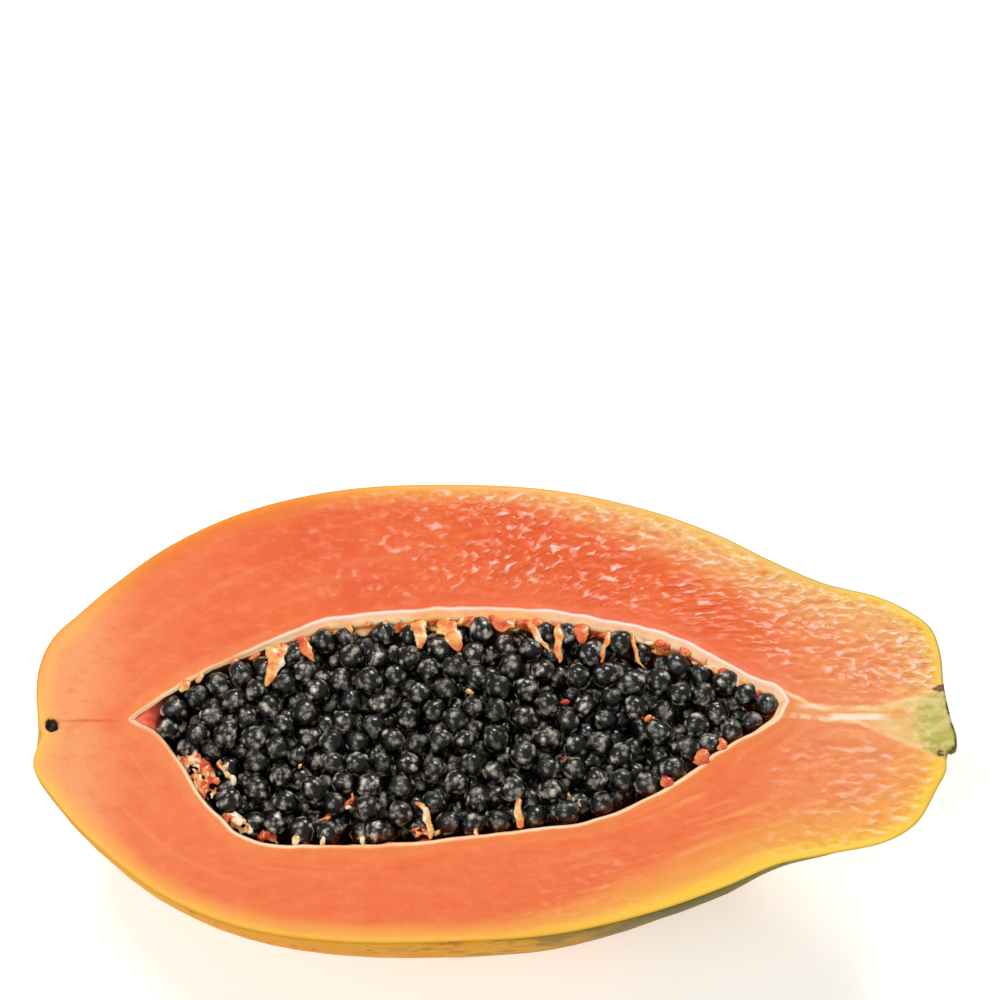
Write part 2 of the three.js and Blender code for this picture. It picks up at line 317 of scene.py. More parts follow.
def skin_point(section, turn):
    """A point of the skin, at a turn from the far edge (0) under the belly to the near edge (1)."""
    x, middle, half, depth = section
    if depth < 1e-6:
        return Vector((x, middle, 0))
    radius = (half * half + depth * depth) / (2 * depth)
    sweep = (1 - 2 * turn) * 2 * math.atan2(depth, half)
    relief = LOBE_RELIEF / 2 * half / (half + LOBE_FADE)
    reach = radius + relief * math.cos(LOBES * turn * math.pi) * math.sin(turn * math.pi)
    z = radius - depth - reach * math.cos(sweep)
    return Vector((x, middle + reach * math.sin(sweep), clamp(z, RESTING_FLAT - DEPTH, 0)))


def wall_point(section, angle):
    """A point of the cavity's wall, from the far edge (0) over the floor to the near edge (pi)."""
    x, middle, half, depth = section
    drop = depth * max(math.sin(angle), 0) ** WALL_CURVE
    return Vector((x, middle + half * math.cos(angle), -drop))


# ---- Meshes and objects ----


def way_into_frame():
    """Takes the fruit's own axes, in millimetres, to their place in the frame, in metres."""
    low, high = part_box("fruit_half")
    farthest = max(skin_point(fruit_curve.at_share(index / COLUMNS), 0).y for index in range(COLUMNS + 1))
    corner = Vector((low.x, high.y - farthest * MILLIMETRE, high.z))
    return Matrix.Translation(corner) @ Matrix.Scale(MILLIMETRE, 4)


INTO_FRAME = way_into_frame()


def mesh_of(bm, name):
    mesh = bpy.data.meshes.new(name)
    bm.to_mesh(mesh)
    bm.free()
    return mesh


def add_object(name, data):
    added = bpy.data.objects.new(name, data)
    bpy.context.scene.collection.objects.link(added)
    return added


def finish_piece(name, bm, materials, replaced=None):
    """Turns a bmesh into a smooth piece of the object, riding on its one body."""
    bmesh.ops.recalc_face_normals(bm, faces=bm.faces)
    for face in bm.faces:
        face.smooth = True
    mesh = mesh_of(bm, name)
    mesh.transform(INTO_FRAME)
    for material in materials:
        mesh.materials.append(material)
    piece = add_object(name, mesh)
    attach(piece, "root")
    if replaced:
        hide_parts(replaced)


def add_surface(bm, columns, rows, place, material=0, layer=None, layout=None):
    """A grid of quads whose corner in column i and row j is moved to place(i, j).

    The corner's layout(i, j) is kept on a layer, for what follows the surface.
    """
    made = bmesh.ops.create_grid(bm, x_segments=columns, y_segments=rows, size=0.5)
    for vert in made["verts"]:
        column = round((vert.co.x + 0.5) * columns)
        row = round((vert.co.y + 0.5) * rows)
        vert.co = place(column, row)
        if layout:
            vert[layer] = layout(column, row)
    for face in {face for vert in made["verts"] for face in vert.link_faces}:
        face.material_index = material


def ball_mesh(cuts):
    """A round ball of even quads, with a radius of 1."""
    bm = bmesh.new()
    bmesh.ops.create_cube(bm, size=2)
    bmesh.ops.subdivide_edges(bm, edges=bm.edges, cuts=cuts, use_grid_fill=True)
    for vert in bm.verts:
        vert.co = Vector([math.tan(part * math.pi / 4) for part in vert.co]).normalized()
    return mesh_of(bm, "ball")


def add_copy(bm, mesh):
    """Adds a mesh to a bmesh and returns its new vertices."""
    before = len(bm.verts)
    bm.from_mesh(mesh)
    bm.verts.ensure_lookup_table()
    return bm.verts[before:]


# ---- The fruit ----


def crowded(share):
    """A share from 0 to 1 whose steps are smaller near both ends."""
    return lerp(share, (1 - math.cos(math.pi * share)) / 2, EDGE_CROWDING)


def wetness(place, from_rim):
    """How strongly the cut flesh is pitted: most on the far side towards the stem."""
    side = smooth(place.y, *FAR_SIDE) * smooth(place.x, *TOWARDS_STEM)
    neck = lerp(0.6, 0.9, smooth(place.y, *NECK_SIDES)) * smooth(place.x, *WET_NECK)
    return clamp(side + neck) * smooth(from_rim, 0.5, 5)


def pitting(place, grain):
    """Pits that run with the grain beside the cavity, and lengthwise in the neck."""
    beside, in_neck = long_waves(grain, *WET_PITS, 4), long_waves(place, *WET_PITS, 8)
    return lerp(beside, in_neck, smooth(place.x, *NECK))


def cut_rise(place, from_rim, from_skin, grain):
    """How far the cut face rises or falls at a place: knife marks, wet pits, fibres, lip, edge."""
    rise = waves(place, *KNIFE_WAVES) + waves(place, *KNIFE_RIPPLES, Vector((7, 3, 1)))
    rise += pitting(place, grain) * wetness(place, from_rim)
    rise += long_waves(grain, *FIBRES, 9) * smooth(place.x, 110, 150) * smooth(place.y, 0, -12)
    rise *= smooth(from_skin, 0, 1.5)
    rise += LIP_HEIGHT * smooth(from_rim, 2.2, 0.7) - LIP_ROUNDING * smooth(from_rim, 0.35, 0)
    rise -= EDGE_DROP * smooth(from_skin, 0.5, 0)
    apart = math.dist(place.xy, SCAR_PLACE) / SCAR_RADIUS + 0.3 * noise.noise(place * 0.9)
    return rise - SCAR_DEPTH * math.sqrt(max(1 - apart**2, 0))


def lip_reach(place, from_rim):
    """How far the lip's round shoulder stands into the cavity: most on the far side."""
    shoulder = 1 - (1 - clamp(from_rim / LIP_DROP)) ** LIP_FLATNESS
    broad = smooth(place.y, *LIP_SIDES) * smooth(place.x, *LIP_START)
    return lerp(*LIP_REACH, broad) * shoulder * smooth(from_rim, 8, 3)


def wall_push(place, from_rim, grain):
    """How far the cavity's wall stands into the cavity: the lip, then fibrous folds."""
    folds = long_waves(grain, *WALL_FOLDS, 2) + waves(place, *WALL_LUMPS)
    return lip_reach(place, from_rim) + folds * smooth(from_rim, 1.0, 4)


def make_fruit(flesh, rind):
    """Flesh and rind as one closed skin: the cut face, the cavity's wall and the outside."""
    shares = [index / COLUMNS for index in range(COLUMNS + 1)]
    outline = [fruit_curve.at_share(share) for share in shares]
    cavity = [cavity_curve.at_share(share) for share in shares]

    def on_skin(column, row):
        return skin_point(outline[column], row / SKIN_ROWS)

    def on_wall(column, row):
        return wall_point(cavity[column], crowded(row / WALL_ROWS) * math.pi)

    def on_cut(end):
        def place(column, row):
            rim = wall_point(cavity[column], end * math.pi)
            return rim.lerp(skin_point(outline[column], end), crowded(row / CUT_ROWS))
        return place

    def laid(across):
        """The grain's own axes: along the fruit's edge, and across it by what a row gives."""
        return lambda column, row: (shares[column] * fruit_curve.keys[-1], across(row), 0)

    down_skin = laid(lambda row: GRAIN_WIDTH)
    across_cut = laid(lambda row: crowded(row / CUT_ROWS) * GRAIN_WIDTH)
    down_wall = laid(lambda row: -crowded(min(row, WALL_ROWS - row) / WALL_ROWS) * GRAIN_DROP)

    bm = bmesh.new()
    grain = bm.verts.layers.float_vector.new("grain")
    add_surface(bm, COLUMNS, SKIN_ROWS, on_skin, material=1, layer=grain, layout=down_skin)
    for end in (0, 1):
        add_surface(bm, COLUMNS, CUT_ROWS, on_cut(end), layer=grain, layout=across_cut)
    add_surface(bm, COLUMNS, WALL_ROWS, on_wall, layer=grain, layout=down_wall)
    bmesh.ops.remove_doubles(bm, verts=bm.verts, dist=WELD)
    bmesh.ops.recalc_face_normals(bm, faces=bm.faces)
    sculpt_fruit(bm, grain)
    finish_piece("papaya_half", bm, [flesh, rind], "fruit_half")


def edge_tree(curve, point_at):
    """Finds how far a point is from a closed edge of the cut face; ends 0 and 1 are far and near."""
    sections = [curve.at_share(index / EDGE_SAMPLES) for index in range(EDGE_SAMPLES + 1)]
    return search_tree([point_at(section, end) for end in (0, 1) for section in sections])


def sculpt_fruit(bm, grain_layer):
    """Gives the fruit its relief, and notes on it what its finishes are laid out by."""
    rim_edge = edge_tree(cavity_curve, lambda section, end: wall_point(section, end * math.pi))
    skin_edge = edge_tree(fruit_curve, skin_point)
    floats, vectors = bm.verts.layers.float, bm.verts.layers.float_vector
    rim_layer, skin_layer = floats.new("from_rim"), floats.new("from_skin")
    place_layer = vectors.new("place")
    noise.seed_set(RIM_ROW)
    bm.normal_update()
    moves = []
    for vert in bm.verts:
        place, grain = vert.co.copy(), vert[grain_layer]
        from_rim, from_skin = rim_edge.find(place)[2], skin_edge.find(place)[2]
        outside = all(face.material_index == 1 for face in vert.link_faces)
        inside = not outside and place.z < -1e-4
        if outside:
            bumps = waves(place, *RIND_WAVES) + waves(place, *RIND_DIMPLES)
            move = vert.normal * bumps * smooth(from_skin, 0, 4)
        elif inside:
            move = vert.normal * wall_push(place, from_rim, grain)
            move.z -= place.z * TIP_FILL * smooth(place.x, *TIP_SHOAL)
        else:
            move = Vector((0, 0, cut_rise(place, from_rim, from_skin, grain)))
        if not outside:
            ragged = noise.noise_vector(place / RIM_WAVE) * RIM_RAGGEDNESS
            move += Vector((ragged.x, ragged.y, 0)) * smooth(from_rim, 4, 0)
        moves.append((vert, move))
        vert[rim_layer] = -from_rim if inside else from_rim
        vert[skin_layer] = from_skin
        vert[place_layer] = place
    for vert, move in moves:
        vert.co += move
        vert.co.z = max(vert.co.z, RESTING_FLAT - DEPTH)


# ---- The seeds ----


def heap_level(x, y):
    """Height of the highest seed centres over a place of the cavity."""
    section = cavity_curve.at(x)
    across = clamp((y - section.middle) / section.half, -1, 1) if section.half else 0
    wave = math.sin(math.tau * x / HEAP_WAVES[0]) * math.cos(math.tau * y / HEAP_WAVES[1])
    from_end = min(x - FIRST_WALL, LAST_WALL - x)
    near_end = 1 - clamp(from_end / HEAP_END_REACH)
    slope = lerp(HEAP_NEAR, HEAP_FAR, (across + 1) / 2)
    return slope + HEAP_WAVE_HEIGHT * wave + HEAP_END_RISE * near_end**2


def bowl(x, y, z):
    """1 in the middle of the cavity and 0 on its wall."""
    section = cavity_curve.at(x)
    across = (y - section.middle) / max(section.half, 0.5)
    down = max(-z, 0) / max(section.depth, 0.5)
    return 1 - math.sqrt(across**2 + down ** (2 / WALL_CURVE))


def wall_clearance(place, step=0.1):
    """How far a place is inside the cavity's wall, and the way inwards."""
    x, y, z = place
    inwards = Vector((
        bowl(x + step, y, z) - bowl(x - step, y, z),
        bowl(x, y + step, z) - bowl(x, y - step, z),
        bowl(x, y, z + step) - bowl(x, y, z - step),
    )) / (2 * step)
    steepness = max(inwards.length, 1e-6)
    return bowl(x, y, z) / steepness, inwards / steepness


class Seed:
    def __init__(self, place, radius):
        self.place, self.radius = place, radius


def strew(count, layers, random):
    """Seeds spread evenly over the cavity, between two depths under the heap's surface."""
    seeds, index = [], 0
    while len(seeds) < count:
        x = lerp(FIRST_WALL, LAST_WALL, index * STREWING[0] % 1)
        y = (index * STREWING[1] % 1 - 0.5) * WIDTH
        z = heap_level(x, y) - lerp(*layers, next(random))
        radius = SEED_DIAMETER / 2 * (1 + SEED_SPREAD * (2 * next(random) - 1))
        place = Vector((x, y, z))
        if x > SEED_REACH[0] and wall_clearance(place)[0] > radius * CROWDED_AT_WALL:
            seeds.append(Seed(place, radius))
        index += 1
    return seeds


def lodge(x):
    """A seed that is caught under the far lip."""
    section = cavity_curve.at(x)
    y = section.middle + section.half - SEED_DIAMETER / 2
    return Seed(Vector((x, y, heap_level(x, y))), SEED_DIAMETER / 2)


def settle(seeds, resting, layers):
    """Seeds push each other apart and away from those that rest, and stay inside the wall."""
    everything = seeds + resting
    for _ in range(SETTLING_PASSES):
        tree = search_tree([seed.place for seed in everything])
        moves = []
        for seed in seeds:
            move = Vector()
            for place, index, distance in tree.find_range(seed.place, SEED_DIAMETER * NEIGHBOURS):
                overlap = seed.radius + everything[index].radius - distance
                if overlap > 0 and distance > 0:
                    move += (seed.place - place) / distance * overlap / 2
            moves.append(move)
        for seed, move in zip(seeds, moves):
            seed.place += move * SETTLING_SHARE
            clearance, inwards = wall_clearance(seed.place)
            short = seed.radius + WALL_GAP - clearance
            if short > 0:
                seed.place += inwards * short
            seed.place.x = clamp(seed.place.x, *SEED_REACH)
            level = heap_level(seed.place.x, seed.place.y)
            seed.place.z = clamp(seed.place.z, level - layers[1], level - layers[0])


def make_seeds(material):
    """The seeds, each a slightly lumpy ovoid turned its own way, with its own tone."""
    top = strew(SEED_COUNT, SEED_LAYERS, seeded_random(TOP_ROW)) + [lodge(x) for x in LODGED_SEEDS]
    settle(top, spots_kept_clear(), SEED_LAYERS)
    lower = strew(LOWER_SEED_COUNT, LOWER_LAYERS, seeded_random(LOWER_ROW))
    settle(lower, top, LOWER_LAYERS)
    ball = ball_mesh(SEED_CUTS)
    random = seeded_random(TURN_ROW)
    bm = bmesh.new()
    tone_layer = bm.verts.layers.float.new("tone")
    for seed in top + lower:
        tilt = Euler((next(random) * math.pi, 0, next(random) * math.pi)).to_matrix()
        tone = next(random)
        for vert in add_copy(bm, ball):
            lumps = (height * noise.noise(vert.co * fineness + seed.place) for fineness, height in SEED_LUMPS)
            shape = vert.co * (1 + sum(lumps)) * seed.radius
            shape.z *= SEED_STRETCH
            vert.co = tilt @ shape + seed.place
            vert[tone_layer] = tone
    bpy.data.meshes.remove(ball)
    finish_piece("papaya_seeds", bm, [material], "seed_heap")


def make_seed_bed(material):
    """The dark pulp and hidden seeds under the seeds that show."""
    ends = (FIRST_WALL + BED_MARGIN, LAST_WALL - BED_MARGIN)

    def place(column, row):
        x, middle, half, depth = cavity_curve.at(lerp(*ends, column / BED_COLUMNS))
        half, depth = half - BED_INSET, depth - BED_INSET
        section = Section(x, middle, half, depth)

        def lid_angle(y):
            drop = BED_DROP - heap_level(x, y)
            return math.asin(min(drop / depth, 1) ** (1 / WALL_CURVE))

        far_end, near_end = lid_angle(middle + half), math.pi - lid_angle(middle - half)
        if row <= BED_WALL_ROWS:
            return wall_point(section, lerp(far_end, near_end, row / BED_WALL_ROWS))
        near, far = wall_point(section, near_end), wall_point(section, far_end)
        spot = near.lerp(far, (row - BED_WALL_ROWS) / BED_LID_ROWS)
        if row < BED_WALL_ROWS + BED_LID_ROWS:
            spot.z = heap_level(x, spot.y) - BED_DROP
        return spot

    bm = bmesh.new()
    add_surface(bm, BED_COLUMNS, BED_WALL_ROWS + BED_LID_ROWS, place)
    bmesh.ops.remove_doubles(bm, verts=bm.verts, dist=WELD)
    bmesh.ops.holes_fill(bm, edges=bm.edges, sides=BED_WALL_ROWS + BED_LID_ROWS)
    finish_piece("seed_bed", bm, [material])


# ---- The pulp ----

# Flaps of pulp that hang from the wall into the heap, in millimetres: place of the root along the
# fruit and its width, place of the tip along the fruit, how far it reaches across, the tip's width,
# how far the bend leans towards the stem, and a tone from red-orange (0) over orange to cream (1).
Flap = namedtuple("Flap", "root width tip reach tip_width lean tone")
FAR_FLAPS = [
    Flap(33.5, 2.5, 31.5, 3, 2.4, 0, 0.45), Flap(36.5, 1.4, 35, 2.6, 1.5, 0, 0.6),
    Flap(53.9, 3.4, 49.8, 12.5, 3.4, 1, 0.5), Flap(50.5, 1.7, 52.5, 3.5, 2.4, 0, 0.75),
    Flap(57.4, 3.2, 61.6, 8, 1.7, -0.6, 0.4), Flap(68.6, 2, 69.2, 4.4, 1.2, 0, 0.6),
    Flap(77, 1.1, 75.6, 4.2, 1.2, 0, 0.45), Flap(80, 0.9, 79, 3.4, 1.2, 0, 0.5),
    Flap(84, 2.9, 84.2, 9.6, 3.3, 0.4, 0.55), Flap(88.8, 4.6, 93, 10.6, 2.7, 0.8, 0.5),
    Flap(102.6, 5.1, 101, 5, 5.1, 0.5, 0.15), Flap(99, 1, 104, 3.4, 1.4, 1, 0.5),
    Flap(107.3, 1.4, 113.4, 10.8, 1.7, 0, 0.65), Flap(114.8, 1.9, 115.5, 13, 1.7, -0.5, 0.5),
    Flap(119.6, 3.6, 120.6, 7, 2.4, 0, 0.2), Flap(126.3, 1.5, 123.8, 10.5, 1.5, 0.6, 0.45),
    Flap(131.4, 1.3, 134.6, 11, 1, -2.2, 0.6), Flap(143.4, 2.2, 142.2, 3.2, 2.4, 0, 0.4),
    Flap(147.5, 1.2, 147, 2.8, 1.5, 0, 0.7), Flap(156.2, 1.9, 155, 2.6, 1.8, 0, 0.4),
    Flap(64, 1, 63, 3, 1.2, 0, 0.3), Flap(72.5, 1.2, 73, 3.2, 1.4, 0, 0.35),
    Flap(95.5, 1.4, 96, 3.6, 1.5, 0, 0.3), Flap(110.6, 1.9, 110, 3.6, 2.1, 0, 0.2),
    Flap(137.4, 1.5, 137, 3.2, 1.8, 0, 0.3), Flap(44, 1.7, 43, 3, 1.8, 0, 0.3),
    Flap(151.8, 1.4, 151, 2.6, 1.5, 0, 0.3),
]
NEAR_FLAPS = [
    Flap(106.4, 1.4, 106, 8.6, 2, 0, 0.5), Flap(87, 1, 83.2, 10, 2.2, 2.2, 0.7),
    Flap(57.6, 1.9, 57.8, 3.6, 1.8, 0, 0.7), Flap(63.6, 1, 63.4, 3, 1.4, 0, 0.8),
    Flap(72.4, 1, 72, 2.6, 1.4, 0, 0.7), Flap(97, 1, 97.2, 2.4, 1.4, 0, 0.75),
    Flap(138.6, 2.5, 138, 3.4, 2.4, 0, 0.1), Flap(146, 3.7, 145.6, 4.2, 3.3, 0.5, 0.15),
    Flap(150.5, 2.2, 149.8, 3.4, 2.1, 0.5, 0.25),
]
# Each with the side that it hangs from, 1 for the far wall and -1 for the near one.
FLAPS = [(flap, 1) for flap in FAR_FLAPS] + [(flap, -1) for flap in NEAR_FLAPS]
# Clumps of small lumps of pulp: along, across, length, width, the way that the length points in
# degrees from the stem towards the far edge, number of lumps, and tone.
Clump = namedtuple("Clump", "x y length width turn lumps tone")
CLUMPS = [
    Clump(36.0, -11.4, 13.5, 6.8, -58, 120, 0.4), Clump(42.4, -11.4, 8.0, 1.8, -60, 22, 0.85),
    Clump(45.4, -23.4, 8.5, 3.6, -34, 44, 0.75), Clump(52.0, -26.2, 4.0, 2.2, -8, 14, 0.05),
    Clump(86.0, -25.4, 6.2, 2.2, 4, 18, 0.5), Clump(64.1, -21.4, 2.6, 1.8, 30, 5, 0.5),
    Clump(69.3, -17.8, 5.0, 1.6, 80, 8, 0.4), Clump(118.1, -17.6, 4.4, 1.3, -50, 6, 0.8),
    Clump(116.2, -7.3, 2.4, 1.6, 10, 4, 0.45), Clump(135.0, 2.0, 3.0, 1.6, 10, 5, 0.75),
    Clump(95.4, 7.4, 2.0, 1.4, 0, 3, 0.8), Clump(58.2, -9.4, 2.2, 1.6, 0, 3, 0.85),
    Clump(116.8, 5.2, 1.8, 1.2, 0, 3, 0.6), Clump(52.6, 16.4, 4.2, 1.8, 10, 8, 0.8),
]


def flap_route(flap, side):
    """Root, bend and tip of a flap."""
    edge = FLAP_ROOT if side > 0 else math.pi - FLAP_ROOT
    root = wall_point(cavity_curve.at(flap.root), edge)
    tip = Vector((flap.tip, root.y - side * flap.reach, 0))
    root.y += side * (FLAP_SINK - lip_reach(root, -root.z))
    tip.z = heap_level(tip.x, tip.y) + FLAP_NESTLING
    return root, root.lerp(tip, 0.5) + Vector((flap.lean, 0, FLAP_RISE)), tip


def spots_kept_clear():
    """Where pulp lies between the seeds, so that they settle round it."""
    spots = []
    for flap, side in FLAPS:
        route = flap_route(flap, side)
        steps = math.ceil(flap.reach / SPOT_STEP)
        for step in range(1, steps):
            share = step / steps
            width = lerp(flap.width, flap.tip_width, share)
            spots.append(Seed(bend(*route, share), width / 2 * SPOT_SHARE))
    for clump in CLUMPS:
        turn = math.radians(clump.turn)
        steps = max(round(clump.length / clump.width), 1)
        for step in range(steps):
            along = ((step + 0.5) / steps - 0.5) * clump.length
            x, y = clump.x + along * math.cos(turn), clump.y + along * math.sin(turn)
            spots.append(Seed(Vector((x, y, heap_level(x, y) + SPOT_RISE)), clump.width / 2))
    return spots


def add_strand(bm, ball, route, widths, thickness, tone, wander, bluntness):
    """A soft tapering strand along a bend through three points, with one paler edge."""
    start, middle, end = route
    tone_layer = bm.verts.layers.float["tone"]
    for vert in add_copy(bm, ball):
        across, up, pole = vert.co
        share = (math.asin(clamp(pole, -1, 1)) / (math.pi / 2) + 1) / 2
        centre = bend(*route, share)
        heading = (middle - start).lerp(end - middle, share).normalized()
        side = heading.cross(Vector((0, 0, 1))).normalized()
        blunt = max(math.hypot(across, up), 0.01) ** -bluntness
        ripple = 1 + 0.35 * noise.noise(centre / 1.9) + 0.25 * noise.noise(centre / 0.9 + vert.co)
        width = lerp(*widths, share**0.5)
        offset = side * across * width / 2 + side.cross(heading) * up * thickness / 2
        drift = side * noise.noise(centre / 3.2) * wander * smooth(share, 0, 0.5)
        vert.co = centre + drift + offset * blunt * ripple
        patch = waves(centre, 0.45, 1.8, Vector((0, 5, 0)))
        vert[tone_layer] = clamp(tone + patch + 0.4 * smooth(-across, 0.3, 0.9))


def add_lump(bm, ball, middle, heading, length, tone, random):
    """A small lump of pulp."""
    half = Vector((math.cos(heading), math.sin(heading), 0.6 * (next(random) - 0.5))) * length / 2
    width, tone = length * lerp(*LUMP_WIDTHS, next(random)), tone + 1.3 * (next(random) - 0.5)
    route = (middle - half, middle + Vector((0, 0, 0.25)), middle + half)
    add_strand(bm, ball, route, (width, width), width * 0.6, tone, 0.5, LUMP_BLUNTNESS)


def fuse(bm, cell):
    """Fuses the overlapping shapes of a bmesh into one soft skin that keeps their tones."""
    tones = [vert[bm.verts.layers.float["tone"]] for vert in bm.verts]
    tree = search_tree([vert.co for vert in bm.verts])
    apart = mesh_of(bm, "pulp_apart")
    holder = add_object("pulp_apart", apart)
    fusing = holder.modifiers.new("fusing", "REMESH")
    fusing.mode, fusing.voxel_size = "VOXEL", cell
    fused = bpy.data.meshes.new_from_object(holder.evaluated_get(bpy.context.evaluated_depsgraph_get()))
    skin = bmesh.new()
    skin.from_mesh(fused)
    bpy.data.objects.remove(holder)
    for mesh in (apart, fused):
        bpy.data.meshes.remove(mesh)
    layer = skin.verts.layers.float.get("tone") or skin.verts.layers.float.new("tone")
    for vert in skin.verts:
        vert[layer] = tones[tree.find(vert.co)[1]]
    for _ in range(2):
        bmesh.ops.smooth_vert(
            skin, verts=skin.verts, factor=0.5, use_axis_x=True, use_axis_y=True, use_axis_z=True
        )
    return skin


def make_pulp(material):
    """Orange pulp: flaps that still hold seeds to the wall, and clumps left between the seeds."""
    fine_ball, ball = ball_mesh(FLAP_CUTS), ball_mesh(LUMP_CUTS)
    bm = bmesh.new()
    bm.verts.layers.float.new("tone")
    for flap, side in FLAPS:
        widths, route = (flap.width * FLAP_FLARE, flap.tip_width * FLAP_TAPER), flap_route(flap, side)
        add_strand(bm, fine_ball, route, widths, FLAP_THICKNESS, flap.tone, FLAP_WANDER, FLAP_BLUNTNESS)
    random = seeded_random(PULP_ROW)
    for _ in range(FRINGE_LUMPS):
        section = cavity_curve.at(lerp(*FRINGE_ALONG, next(random)))
        middle = wall_point(section, lerp(*FRINGE_WALL, next(random)))
        middle.y -= lip_reach(middle, -middle.z) + FRINGE_FORWARD
        heading, length = 1.2 * (next(random) - 0.5), lerp(*FRINGE_LENGTHS, next(random))
        add_lump(bm, ball, middle, heading, length, FRINGE_TONE, random)
    for clump in CLUMPS:
        turn = math.radians(clump.turn)
        length_way = Vector((math.cos(turn), math.sin(turn), 0)) * clump.length / 2
        width_way = Vector((-math.sin(turn), math.cos(turn), 0)) * clump.width / 2
        for _ in range(clump.lumps):
            spin, out = math.tau * next(random), math.sqrt(next(random))
            middle = Vector((clump.x, clump.y, 0)) + length_way * math.cos(spin) * out
            middle += width_way * math.sin(spin) * out
            middle.z = heap_level(middle.x, middle.y) + lerp(*LUMP_HEIGHTS, next(random))
            heading, length = turn + 1.8 * (next(random) - 0.5), lerp(*LUMP_LENGTHS, next(random))
            add_lump(bm, ball, middle, heading, length, clump.tone, random)
    for mesh in (fine_ball, ball):
        bpy.data.meshes.remove(mesh)
    finish_piece("pulp_strands", fuse(bm, PULP_CELL), [material])


# ---- Finishes ----


def paint(code):
    """A colour code as the linear colour that shaders take."""
    channels = [(code >> shift & 255) / 255 for shift in (16, 8, 0)]
    return (*(c / 12.92 if c <= 0.04045 else ((c + 0.055) / 1.055) ** 2.4 for c in channels), 1)


def math_operator(operation, swapped=False):
    """A Python operator that adds a Math node."""

    def operate(value, other=0):
        inputs = (other, value) if swapped else (value, other)
        return value.finish.value("Math", {"operation": operation}, dict(enumerate(inputs)))

    return operate


class Value:
    """A number that changes over a surface; arithmetic on it adds Math nodes to its finish."""

    def __init__(self, finish, socket):
        self.finish, self.socket = finish, socket

    __add__ = __radd__ = math_operator("ADD")
    __mul__ = __rmul__ = math_operator("MULTIPLY")
    __sub__ = math_operator("SUBTRACT")
    __rsub__ = math_operator("SUBTRACT", swapped=True)
    __truediv__ = math_operator("DIVIDE")
    __abs__ = math_operator("ABSOLUTE")
    at_least = math_operator("MAXIMUM")

    def limited(self):
        return self.finish.value("Clamp", {}, {0: self})

    def fade(self, start, end):
        """0 before start, 1 past end and a smooth rise between; start may be the larger."""
        settings = {"interpolation_type": "SMOOTHSTEP"}
        return self.finish.value("MapRange", settings, {0: self, 1: start, 2: end, 3: 0, 4: 1})

    def band(self, start, full, end):
        """0 before start and after end, 1 at full."""
        return self.fade(start, full) * self.fade(end, full)


class Finish:
    """A material in the making. Its patterns lie on places in the frame, in metres."""

    def __init__(self, name, **shader_values):
        self.material = bpy.data.materials.new(name)
        self.material.use_nodes = True
        self.tree = self.material.node_tree
        self.shader = self.tree.nodes["Principled BSDF"]
        self.set(**shader_values)

    @cached_property
    def place(self):
        return self.node("TexCoord", {}, {}).outputs["Object"]

    def node(self, kind, settings, sockets):
        """Adds a node, with its settings set first and then the values or links of its sockets."""
        node = self.tree.nodes.new("ShaderNode" + kind)
        for name, value in settings.items():
            setattr(node, name, value)
        for name, value in sockets.items():
            self.feed(node.inputs[name], value)
        return node

    def feed(self, socket, value):
        if isinstance(value, Value):
            value = value.socket
        if isinstance(value, bpy.types.NodeSocket):
            self.tree.links.new(value, socket)
        else:
            socket.default_value = value

    def value(self, kind, settings, sockets):
        return Value(self, self.node(kind, settings, sockets).outputs[0])

    def set(self, **shader_values):
        """Feeds the shader's sockets, named in lower case with underscores."""
        for name, value in shader_values.items():
            title = name.replace("_", " ").title().replace("Ior", "IOR")
            self.feed(self.shader.inputs[title], value)

    def attribute(self, name):
        return self.node("Attribute", {"attribute_name": name}, {})

    def measure(self, name):
        return Value(self, self.attribute(name).outputs["Fac"])

    def place_parts(self):
        return [Value(self, output) for output in self.node("SeparateXYZ", {}, {0: self.place}).outputs]

    def stretched(self, sizes, over):
        """A vector over which a pattern of size 1 gets a size, or a size for each axis."""
        sizes = sizes if isinstance(sizes, tuple) else (sizes, sizes, sizes)
        return self.node("VectorMath", {"operation": "DIVIDE"}, {0: over, 1: sizes}).outputs[0]

    def cloud(self, sizes, detail=2.0, roughness=0.5, distortion=0.0, over=None):
        """Soft noise about 0.5, with patches of about the given sizes."""
        sockets = {
            "Vector": self.stretched(sizes, self.place if over is None else over),
            "Scale": 1.0,
            "Detail": detail,
            "Roughness": roughness,
            "Distortion": distortion,
        }
        return self.value("TexNoise", {}, sockets)

    def from_dots(self, size, feature="F1"):
        """How far a spot is from the nearest of many dots, which lie about the size apart."""
        sockets = {"Vector": self.stretched(size, self.place), "Scale": 1.0}
        return self.value("TexVoronoi", {"feature": feature}, sockets)

    def mix(self, mask, low, high):
        """One colour where the mask is 0 and another where it is 1; a number is a colour code."""
        low, high = (paint(colour) if isinstance(colour, int) else colour for colour in (low, high))
        return self.node("Mix", {"data_type": "RGBA"}, {0: mask, 6: low, 7: high}).outputs[2]

    def tint(self, base, *coats):
        """Lays colours over a base in turn, each as strongly as its own mask says."""
        for mask, colour in coats:
            base = self.mix(mask, base, colour)
        return base

    def bump(self, height):
        """A bump from a height in millimetres."""
        return self.node("Bump", {}, {"Strength": 1.0, "Distance": MILLIMETRE, "Height": height}).outputs[0]


class FruitFinish(Finish):
    """A finish of the fruit's skin, whose patterns lie on places in the fruit's own axes."""

    @cached_property
    def place(self):
        return self.attribute("place").outputs["Vector"]


